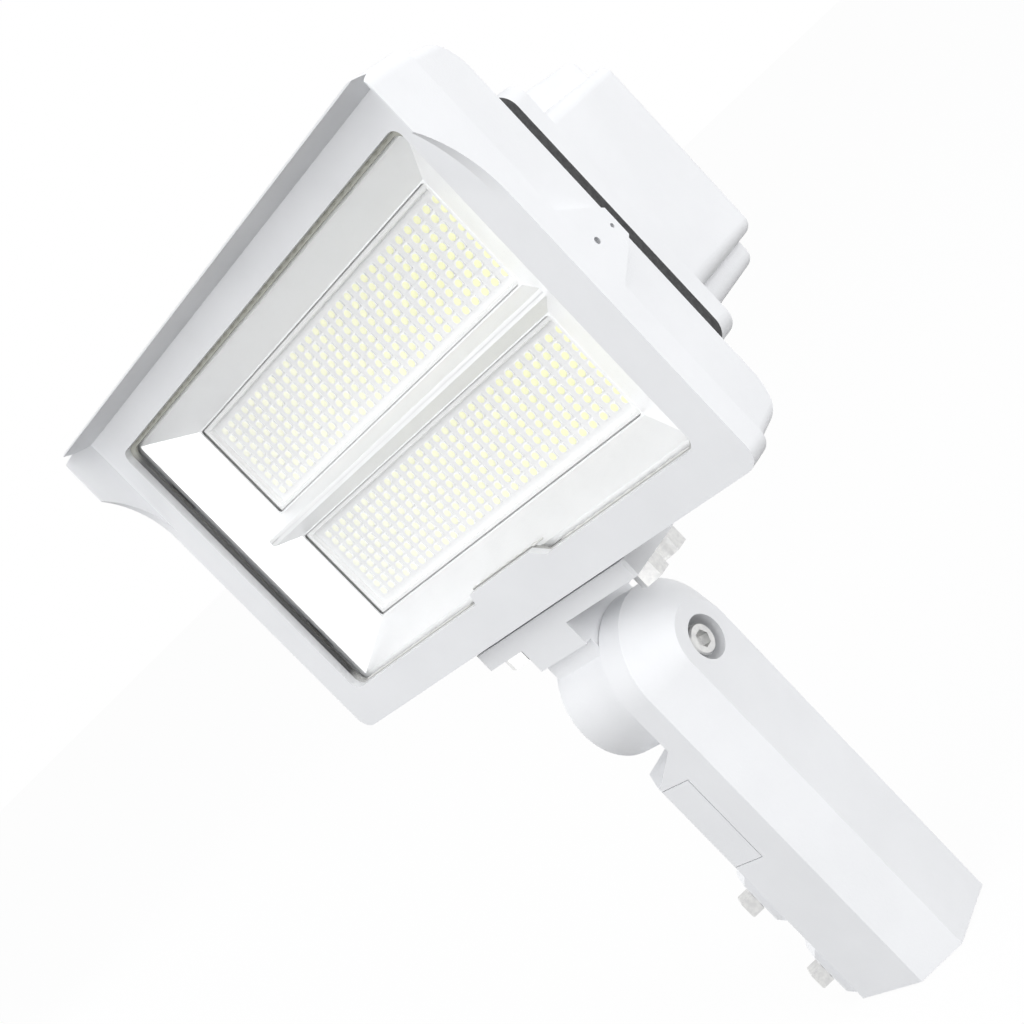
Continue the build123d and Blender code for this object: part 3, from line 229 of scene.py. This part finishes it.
def sheet_metal(name, low, high):
    """Rolled sheet with a grain along its length."""
    shade = Shade(name)
    shade.colour(shade.noise(90.0, 4.0), low, high)
    shade.roughness(shade.noise(600.0, 3.0, (0.15, 1.0, 1.0)), 0.28, 0.42)
    shade.bump(shade.noise(2400.0, 2.0, (0.08, 1.0, 1.0)), 0.00002)
    shade.set(Metallic=1.0)
    return shade.material


def phosphor(name):
    """Pale yellow phosphor under clear silicone, yellower towards +X; the paler -X end is a
    painted sheen.
    """
    shade = Shade(name)
    # Noise plus a share along X: the paler -X end is a painted sheen that stands in for the
    # angle of view.
    mixed = shade.tree.nodes.new("ShaderNodeMath")
    mixed.operation = "MULTIPLY_ADD"
    mixed.inputs[1].default_value = 0.25
    shade.link(shade.noise(130.0), mixed.inputs[0])
    shade.link(shade.along("X", -0.11, 0.11), mixed.inputs[2])
    shade.colour(mixed.outputs["Value"], (0.99, 0.99, 0.86), (0.98, 0.98, 0.56), 0.1, 1.1)
    shade.roughness(shade.noise(900.0), 0.25, 0.40)
    shade.bump(shade.noise(2600.0), 0.00002)
    shade.set(Coat_Weight=0.4)
    # A faint painted glow: the LEDs are not lit.
    shade.painted_glow((1.0, 1.0, 0.84), 0.12)
    return shade.material


def lens_seal(name):
    """Glazing rubber, dark at the ends, with pale and olive grey painted along foot and
    hood as the LEDs' reflection in the lens edge.
    """
    shade = Shade(name)
    # The pale stops at the foot and the olive stops at the hood are painted reflection; the
    # dark middle is the rubber's own colour.
    stops = (
        (0.00, (0.45, 0.45, 0.44)),
        (0.04, (0.40, 0.40, 0.39)),
        (0.07, (0.05, 0.05, 0.05)),
        (0.93, (0.12, 0.12, 0.12)),
        (0.965, (0.50, 0.50, 0.45)),
        (1.00, (0.60, 0.60, 0.53)),
    )
    graded = shade.ramp(shade.along("Z", 0.2672, 0.4442), stops)
    shade.link(graded, shade.surface.inputs["Base Color"])
    shade.roughness(shade.noise(700.0), 0.55, 0.75)
    shade.bump(shade.noise(2400.0), 0.00002)
    return shade.material


def board_rim_with_painted_glow(name):
    """White moulded frame with a faint painted glow that stands in for the light thrown
    round inside.
    """
    shade = Shade(name)
    shade.colour(shade.noise(180.0, 3.0), (0.92, 0.92, 0.92), (0.95, 0.95, 0.95))
    shade.roughness(shade.noise(500.0), 0.25, 0.40)
    shade.bump(shade.noise(2000.0), 0.00002)
    # Painted glow: the frame is no lamp.
    shade.painted_glow((1.0, 1.0, 1.0), 0.08)
    return shade.material


finishes = {
    "white_casting": powder_coat(
        "white_casting", (0.845, 0.852, 0.870), (0.875, 0.882, 0.900)
    ),
    "gasket": rubber_and_painted_reflection("gasket", (0.022, 0.022, 0.024), (0.040, 0.040, 0.042)),
    "zinc_steel": zinc("zinc_steel", (0.66, 0.66, 0.66), (0.76, 0.76, 0.75)),
    "lens_glass": clear_glass("lens_glass"),
    "reflector_sheet": reflector_sheet("reflector_sheet"),
    "led_board": board_mask("led_board"),
    # board_frame: on the frames and the LED packages, with a faint painted glow.
    "board_frame": board_rim_with_painted_glow("board_frame"),
    "lens_seal": lens_seal("lens_seal"),
    "gear_steel": sheet_metal("gear_steel", (0.60, 0.60, 0.60), (0.72, 0.72, 0.71)),
    "driver_case": sheet_metal("driver_case", (0.50, 0.50, 0.52), (0.60, 0.60, 0.61)),
    "terminal_plastic": moulded("terminal_plastic", (0.55, 0.53, 0.46), (0.66, 0.64, 0.56)),
    "phosphor": phosphor("phosphor"),
    # Greys of the beads that paint the LEDs' reflection in the lens edge.
    "painted_reflection": rubber_and_painted_reflection("painted_reflection", (0.40, 0.40, 0.34), (0.47, 0.47, 0.41)),
    "pale_painted_reflection": rubber_and_painted_reflection("pale_painted_reflection", (0.66, 0.66, 0.64), (0.74, 0.74, 0.72)),
}

DRESSED = {
    "white_casting": (
        "slip_fitter",
        "wiring_cover",
        "knuckle",
        "housing",
        "door_frame",
        "driver_lid",
    ),
    "gasket": (
        "wiring_cover_gasket",
        "knuckle_gasket",
        "frame_gasket",
        "lid_gasket",
    ),
    "zinc_steel": (
        "wiring_cover_screws",
        "lower_set_bolt",
        "upper_set_bolt",
        "tilt_bolt",
        "tilt_washer",
        "tilt_nut",
        "knuckle_bolts",
        "frame_screws",
        "lens_clips",
        "lens_clip_screws",
        "board_screws",
        "lid_screws",
        "driver_screws",
        "terminal_screws",
    ),
    "lens_seal": ("lens_gasket",),
    "lens_glass": ("lens",),
    "reflector_sheet": ("reflector",),
    "led_board": ("lower_led_board", "upper_led_board"),
    "board_frame": ("lower_board_frame", "upper_board_frame"),
    "gear_steel": ("gear_tray",),
    "driver_case": ("driver",),
    "terminal_plastic": ("terminal_block",),
}


def dress(node_name, finish):
    """Gives a CAD node its finish in every material slot it has."""
    piece = nodes[node_name]
    if not piece.material_slots:
        piece.data.materials.append(finishes[finish])
        return
    for slot in piece.material_slots:
        slot.link = "DATA"
        slot.material = finishes[finish]


for finish, node_names in DRESSED.items():
    for node_name in node_names:
        dress(node_name, finish)


# ---------------------------------------------------------------- light engine details

LED_COLUMNS = 28
LED_ROWS = 9
# For each board: the middle of the lattice from the board's middle, then the pitches.
LATTICES = {
    "lower_led_board": (0.00283, 0.0005, 0.00757, 0.00505),
    "upper_led_board": (0.00220, -0.0002, 0.00760, 0.00515),
}
LED_BODY = 0.0040
LED_HEIGHT = 0.0007
LED_CORNER = 0.0004
LED_TOP_CORNER = 0.00035
LED_TOP_INSET = 0.00012
LED_BEVEL = 0.0001
LED_CORNER_STEPS = 2
WINDOW_SIDES = 16
PHOSPHOR_RADIUS = 0.0019
PHOSPHOR_RISE = 0.00025
# The dome of a window: share of its radius, then of its rise.
PHOSPHOR_DOME = ((1.0, 0.0), (0.97, 0.4), (0.82, 0.75), (0.5, 0.95))
LIP_REACH = 0.0020
LIP_CLEARANCE = 0.0002
LIP_THICKNESS = 0.0005
LIP_OUTER_CORNER = 0.0035
LIP_INNER_CORNER = 0.0020
LIP_CORNER_STEPS = 6


def new_piece(name, bm, finish, body, smooth=False):
    """Makes an object of a bmesh, gives it its finish and lets it ride on a body."""
    mesh = bpy.data.meshes.new(name)
    bm.to_mesh(mesh)
    bm.free()
    for face in mesh.polygons:
        face.use_smooth = smooth
    mesh.materials.append(finishes[finish])
    piece = bpy.data.objects.new(name, mesh)
    scene.collection.objects.link(piece)
    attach(piece, body)


def led_places(board):
    """The centre of each package on a board's front face, in metres."""
    low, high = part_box(board)
    shift_x, shift_z, pitch_x, pitch_z = LATTICES[board]
    middle_x = (low.x + high.x) / 2 + shift_x
    middle_z = (low.z + high.z) / 2 + shift_z
    for column in range(LED_COLUMNS):
        x = middle_x + (column - (LED_COLUMNS - 1) / 2) * pitch_x
        for row in range(LED_ROWS):
            z = middle_z + (row - (LED_ROWS - 1) / 2) * pitch_z
            yield Vector((x, low.y, z))


def rounded_outline(half_x, half_z, corner, steps):
    """Points round an upright rectangle with rounded corners, anticlockwise."""
    points = []
    for quarter in range(4):
        side_x = 1 if quarter in (0, 3) else -1
        side_z = 1 if quarter in (0, 1) else -1
        for step in range(steps + 1):
            angle = (quarter + step / steps) * math.pi / 2
            x = side_x * (half_x - corner) + corner * math.cos(angle)
            z = side_z * (half_z - corner) + corner * math.sin(angle)
            points.append((x, z))
    return points


def join_rings(bm, rings):
    """Joins rings of as many vertices each with a band of faces between each two."""
    for below, above in zip(rings, rings[1:]):
        for i in range(len(below)):
            j = (i + 1) % len(below)
            bm.faces.new((below[i], below[j], above[j], above[i]))


def add_rings(bm, place, outlines, close=True):
    """Joins outlines of (points, depth in front of place) and closes the last one."""
    rings = []
    for points, depth in outlines:
        spots = [(place.x + x, place.y - depth, place.z + z) for x, z in points]
        rings.append([bm.verts.new(spot) for spot in spots])
    join_rings(bm, rings)
    if close:
        bm.faces.new(rings[-1])


def led_packages(name, board):
    """White moulded packages, as one piece."""
    bm = bmesh.new()
    half = LED_BODY / 2
    top_half = half - LED_TOP_INSET
    foot = rounded_outline(half, half, LED_CORNER, LED_CORNER_STEPS)
    top = rounded_outline(top_half, top_half, LED_TOP_CORNER, LED_CORNER_STEPS)
    outlines = [(foot, 0.0), (foot, LED_HEIGHT - LED_BEVEL), (top, LED_HEIGHT)]
    for place in led_places(board):
        add_rings(bm, place, outlines)
    # The packages take the board_frame finish and its painted glow.
    new_piece(name, bm, "board_frame", "head")


def led_windows(name, board):
    """Domed phosphor windows that stand just proud of their packages."""
    bm = bmesh.new()
    turns = [2 * math.pi * side / WINDOW_SIDES for side in range(WINDOW_SIDES)]
    outlines = []
    for share, rise in PHOSPHOR_DOME:
        radius = PHOSPHOR_RADIUS * share
        points = [(math.cos(angle) * radius, math.sin(angle) * radius) for angle in turns]
        outlines.append((points, LED_HEIGHT + PHOSPHOR_RISE * rise))
    for place in led_places(board):
        add_rings(bm, place, outlines)
    new_piece(name, bm, "phosphor", "head", smooth=True)


def reflector_lip(name, rim):
    """The turned-in edge of the reflector's opening, just clear of a board frame."""
    low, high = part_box(rim)
    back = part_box("reflector")[1].y
    middle = Vector(((low.x + high.x) / 2, back, (low.z + high.z) / 2))
    half_x = (high.x - low.x) / 2
    half_z = (high.z - low.z) / 2
    outer = rounded_outline(
        half_x + LIP_REACH, half_z + LIP_REACH, LIP_OUTER_CORNER, LIP_CORNER_STEPS
    )
    inner = rounded_outline(
        half_x + LIP_CLEARANCE, half_z + LIP_CLEARANCE, LIP_INNER_CORNER, LIP_CORNER_STEPS
    )
    bm = bmesh.new()
    outlines = [
        (outer, 0.0),
        (inner, 0.0),
        (inner, -LIP_THICKNESS),
        (outer, -LIP_THICKNESS),
        (outer, 0.0),
    ]
    add_rings(bm, middle, outlines, close=False)
    bmesh.ops.remove_doubles(bm, verts=bm.verts[:], dist=0.00001)
    bmesh.ops.recalc_face_normals(bm, faces=bm.faces[:])
    new_piece(name, bm, "reflector_sheet", "head")


for side in ("lower", "upper"):
    led_packages(side + "_led_packages", side + "_led_board")
    led_windows(side + "_led_windows", side + "_led_board")
reflector_lip("lower_reflector_lip", "lower_board_frame")
reflector_lip("upper_reflector_lip", "upper_board_frame")


# ---------------------------------------------------------------- painted reflection beads on the lens

# The grey beads are painted reflection of the LEDs in the lens edge, at about their pitch.
BEAD_PITCH = 0.0070
BEAD_SIDES = 10
# Steps to each pitch, and the fewest in a whole bead.
BEAD_STEPS = 8
# The share of its radius a bead starts with, and the steps in which it reaches it all.
BEAD_TIP = 0.35
BEAD_TIP_STEPS = 3
HOOD_BEAD = 0.00095
FOOT_BEAD = 0.0006
LENS_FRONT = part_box("lens")[0].y
WINDOW_TOP = 0.4412
WINDOW_FOOT = 0.2702
TAB_TOP = 0.2757
HOOD_BEAD_LINE = (LENS_FRONT - 0.0006, WINDOW_TOP - 0.0007)
FOOT_BEAD_LINE = (LENS_FRONT - 0.0004, WINDOW_FOOT + 0.0004)
TAB_BEAD_LINE = (LENS_FRONT - 0.0004, TAB_TOP + 0.0004)
# Each bead: its finish, from and to along X, radius, swell, and line in Y and Z.
BEADS = {
    "hood_side_painted_reflection": ("painted_reflection", -0.133, 0.134, HOOD_BEAD, 0.16, HOOD_BEAD_LINE),
    "foot_painted_reflection_left": ("pale_painted_reflection", -0.133, -0.031, FOOT_BEAD, 0.05, FOOT_BEAD_LINE),
    "foot_painted_reflection_tab": ("pale_painted_reflection", -0.023, 0.035, FOOT_BEAD, 0.45, TAB_BEAD_LINE),
    "foot_painted_reflection_right": ("pale_painted_reflection", 0.043, 0.133, FOOT_BEAD, 0.30, FOOT_BEAD_LINE),
}


def painted_reflection_bead(name, finish, start, end, radius, swell, line):
    """A grey bead on the lens that paints the LEDs' reflection in its edge, swelling a
    little at every pitch.
    """
    bm = bmesh.new()
    steps = max(BEAD_STEPS, int((end - start) / BEAD_PITCH * BEAD_STEPS))
    rings = []
    for step in range(steps + 1):
        x = start + (end - start) * step / steps
        wave = 1.0 + swell * math.cos(2 * math.pi * x / BEAD_PITCH)
        grown = min(step, steps - step) / BEAD_TIP_STEPS
        size = radius * wave * min(1.0, BEAD_TIP + (1.0 - BEAD_TIP) * grown)
        ring = []
        for side in range(BEAD_SIDES):
            angle = 2 * math.pi * side / BEAD_SIDES
            y = line[0] + size * math.cos(angle)
            z = line[1] + size * math.sin(angle)
            ring.append(bm.verts.new((x, y, z)))
        rings.append(ring)
    join_rings(bm, rings)
    bm.faces.new(rings[0][::-1])
    bm.faces.new(rings[-1])
    bmesh.ops.recalc_face_normals(bm, faces=bm.faces[:])
    new_piece(name, bm, finish, "head", smooth=True)


for bead_name, bead in BEADS.items():
    painted_reflection_bead(bead_name, *bead)


# ---------------------------------------------------------------- floor, backdrop and light

FLOOR_SIZE = 40.0
FLOOR_HEIGHT = -0.0005
FLOOR_SEEN = (0.90, 0.90, 0.90)
FLOOR_BOUNCE = (0.14, 0.14, 0.14)
FLOOR_SHARE = 0.94
WORLD_LIGHT = 0.79
WORLD_TINT = (0.98, 0.99, 1.0)
WHITE = (1.0, 1.0, 1.0)


def coloured(tree, kind, colour, strength=None):
    """A shader node of this kind, with its colour and, where it has one, its strength."""
    node = tree.nodes.new(kind)
    node.inputs["Color"].default_value = (*colour, 1.0)
    if strength is not None:
        node.inputs["Strength"].default_value = strength
    return node.outputs[0]


def mixed_shaders(tree, first, second):
    """A mix of two shaders, with its factor still to be set or linked."""
    mix = tree.nodes.new("ShaderNodeMixShader")
    tree.links.new(first, mix.inputs[1])
    tree.links.new(second, mix.inputs[2])
    return mix


def ray_that_sees(tree):
    """1 for the rays that show a surface: from the camera, in gloss and through glass."""
    path = tree.nodes.new("ShaderNodeLightPath")
    seen = path.outputs["Is Camera Ray"]
    for kind in ("Is Glossy Ray", "Is Transmission Ray"):
        either = tree.nodes.new("ShaderNodeMath")
        either.operation = "MAXIMUM"
        tree.links.new(seen, either.inputs[0])
        tree.links.new(path.outputs[kind], either.inputs[1])
        seen = either.outputs["Value"]
    return seen


def stage_shade(name):
    """Pale ground that shows white, keeps the shadow and throws back less light."""
    material = bpy.data.materials.new(name)
    material.use_nodes = True
    tree = material.node_tree
    tree.nodes.clear()
    output = tree.nodes.new("ShaderNodeOutputMaterial")
    bounce = coloured(tree, "ShaderNodeBsdfDiffuse", FLOOR_BOUNCE)
    matt = coloured(tree, "ShaderNodeBsdfDiffuse", FLOOR_SEEN)
    white = coloured(tree, "ShaderNodeEmission", WHITE, 1.0)
    shown = mixed_shaders(tree, matt, white)
    shown.inputs["Fac"].default_value = FLOOR_SHARE
    mix = mixed_shaders(tree, bounce, shown.outputs["Shader"])
    tree.links.new(ray_that_sees(tree), mix.inputs["Fac"])
    tree.links.new(mix.outputs["Shader"], output.inputs["Surface"])
    return material


def flat_ground(name, size, z, material):
    """A level square of floor."""
    mesh = bpy.data.meshes.new(name)
    half = size / 2
    square = [(-half, -half, z), (half, -half, z), (half, half, z), (-half, half, z)]
    mesh.from_pydata(square, [], [(0, 1, 2, 3)])
    mesh.materials.append(material)
    ground = bpy.data.objects.new(name, mesh)
    scene.collection.objects.link(ground)


flat_ground("floor", FLOOR_SIZE, FLOOR_HEIGHT, stage_shade("floor_shade"))

world = bpy.data.worlds.new("studio")
scene.world = world
world.use_nodes = True
world_tree = world.node_tree
world_tree.nodes.clear()
world_output = world_tree.nodes.new("ShaderNodeOutputWorld")
studio = coloured(world_tree, "ShaderNodeBackground", WORLD_TINT, WORLD_LIGHT)
backdrop = coloured(world_tree, "ShaderNodeBackground", WHITE, 1.0)
world_mix = mixed_shaders(world_tree, studio, backdrop)
world_tree.links.new(ray_that_sees(world_tree), world_mix.inputs["Fac"])
world_tree.links.new(world_mix.outputs["Shader"], world_output.inputs["Surface"])

HEAD_MIDDLE = Vector((0.0, 0.0, 0.33))
LAMP_SIZE = 1.2
# Each lamp: its place in metres and its power in watts.
LAMPS = {
    "right_lamp": ((2.1, 0.0, 0.6), 24.0),
    "front_lamp": ((0.0, -2.1, 0.6), 14.0),
    "left_lamp": ((-2.1, -0.4, 0.6), 8.0),
    "front_top_lamp": ((0.3, -1.5, 1.9), 5.0),
}


def lamp(name, place, power):
    """A soft square lamp at place, aimed at the middle of the head."""
    data = bpy.data.lights.new(name, "AREA")
    data.shape = "SQUARE"
    data.size = LAMP_SIZE
    data.energy = power
    made = bpy.data.objects.new(name, data)
    scene.collection.objects.link(made)
    aim = (HEAD_MIDDLE - Vector(place)).to_track_quat("-Z", "Y")
    made.matrix_world = Matrix.Translation(place) @ aim.to_matrix().to_4x4()


for lamp_name, (lamp_place, lamp_power) in LAMPS.items():
    lamp(lamp_name, lamp_place, lamp_power)

scene.view_settings.view_transform = "Standard"
